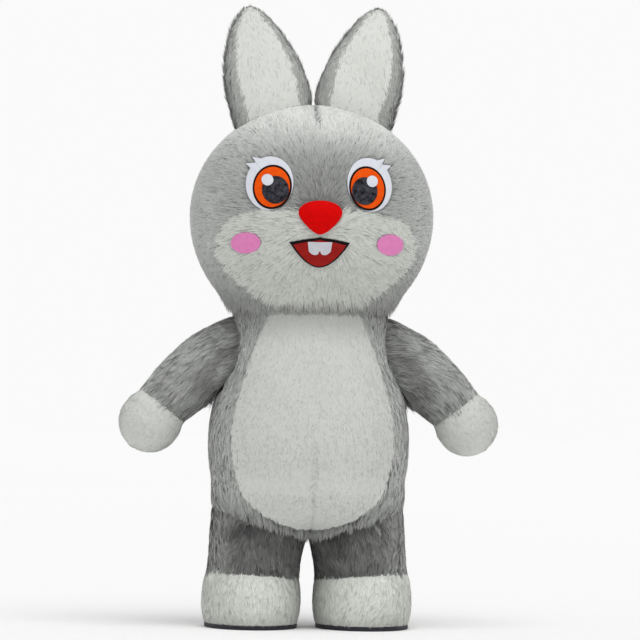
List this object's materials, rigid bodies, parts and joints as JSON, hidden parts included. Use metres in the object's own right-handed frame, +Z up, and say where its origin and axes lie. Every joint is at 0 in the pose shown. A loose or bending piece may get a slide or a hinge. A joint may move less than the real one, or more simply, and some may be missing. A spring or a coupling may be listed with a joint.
{
  "type": "rabbit mascot costume",
  "caption": "Standing rabbit mascot costume of gray and white plush with long ears, belly panel, mitts, feet and a smiling face; closed by a zip in the back.",
  "frame": {"origin": "middle of the bounding box on the floor, under the soles", "axes": "+Z up, front of the costume faces -Y, the wearer's left is +X"},
  "size_m": [1.5914, 0.9506, 2.6],
  "materials": {
    "gray_long_pile": "long shaggy pile",
    "white_pile": "brushed medium pile",
    "white_short_pile": "brushed short pile",
    "eye_white_cloth": "smooth coated cloth",
    "iris_orange_cloth": "smooth coated cloth",
    "pupil_black_cloth": "smooth coated cloth",
    "cheek_pink_cloth": "felt",
    "nose_red_cloth": "smooth velvet, padded",
    "mouth_edge_black_cloth": "felt",
    "mouth_red_cloth": "felt",
    "teeth_white_cloth": "smooth coated cloth",
    "zip_gray": "closed coil zip on woven tape",
    "zip_slider_metal": "die-cast slider",
    "sole_black": "matte grained sheet"
  },
  "bodies": {
    "root": {"belly": "white_short_pile", "cheek_left": "cheek_pink_cloth", "cheek_right": "cheek_pink_cloth", "ear_left_back": "gray_long_pile", "ear_left_inner": "white_short_pile", "ear_right_back": "gray_long_pile", "ear_right_inner": "white_short_pile", "eye_highlight_left": "eye_white_cloth", "eye_highlight_right": "eye_white_cloth", "eye_white_left": "eye_white_cloth", "eye_white_right": "eye_white_cloth", "foot_left_heel": "white_pile", "foot_left_vamp": "white_pile", "foot_right_heel": "white_pile", "foot_right_vamp": "white_pile", "head_back_left": "gray_long_pile", "head_back_right": "gray_long_pile", "head_front_left": "gray_long_pile", "head_front_right": "gray_long_pile", "iris_left": "iris_orange_cloth", "iris_right": "iris_orange_cloth", "leg_left_back": "gray_long_pile", "leg_left_front": "gray_long_pile", "leg_right_back": "gray_long_pile", "leg_right_front": "gray_long_pile", "mitt_left_back": "white_short_pile", "mitt_left_front": "white_short_pile", "mitt_right_back": "white_short_pile", "mitt_right_front": "white_short_pile", "mouth": "mouth_red_cloth", "mouth_edge": "mouth_edge_black_cloth", "muzzle": "white_pile", "nose": "nose_red_cloth", "pupil_left": "pupil_black_cloth", "pupil_right": "pupil_black_cloth", "sleeve_left_back": "gray_long_pile", "sleeve_left_front": "gray_long_pile", "sleeve_right_back": "gray_long_pile", "sleeve_right_front": "gray_long_pile", "sole_left": "sole_black", "sole_right": "sole_black", "teeth": "teeth_white_cloth", "torso_back_left": "gray_long_pile", "torso_back_right": "gray_long_pile", "torso_front_left": "gray_long_pile", "torso_front_right": "gray_long_pile", "zip": "zip_gray", "zip_slider": "zip_slider_metal"}
  },
  "joints": []
}
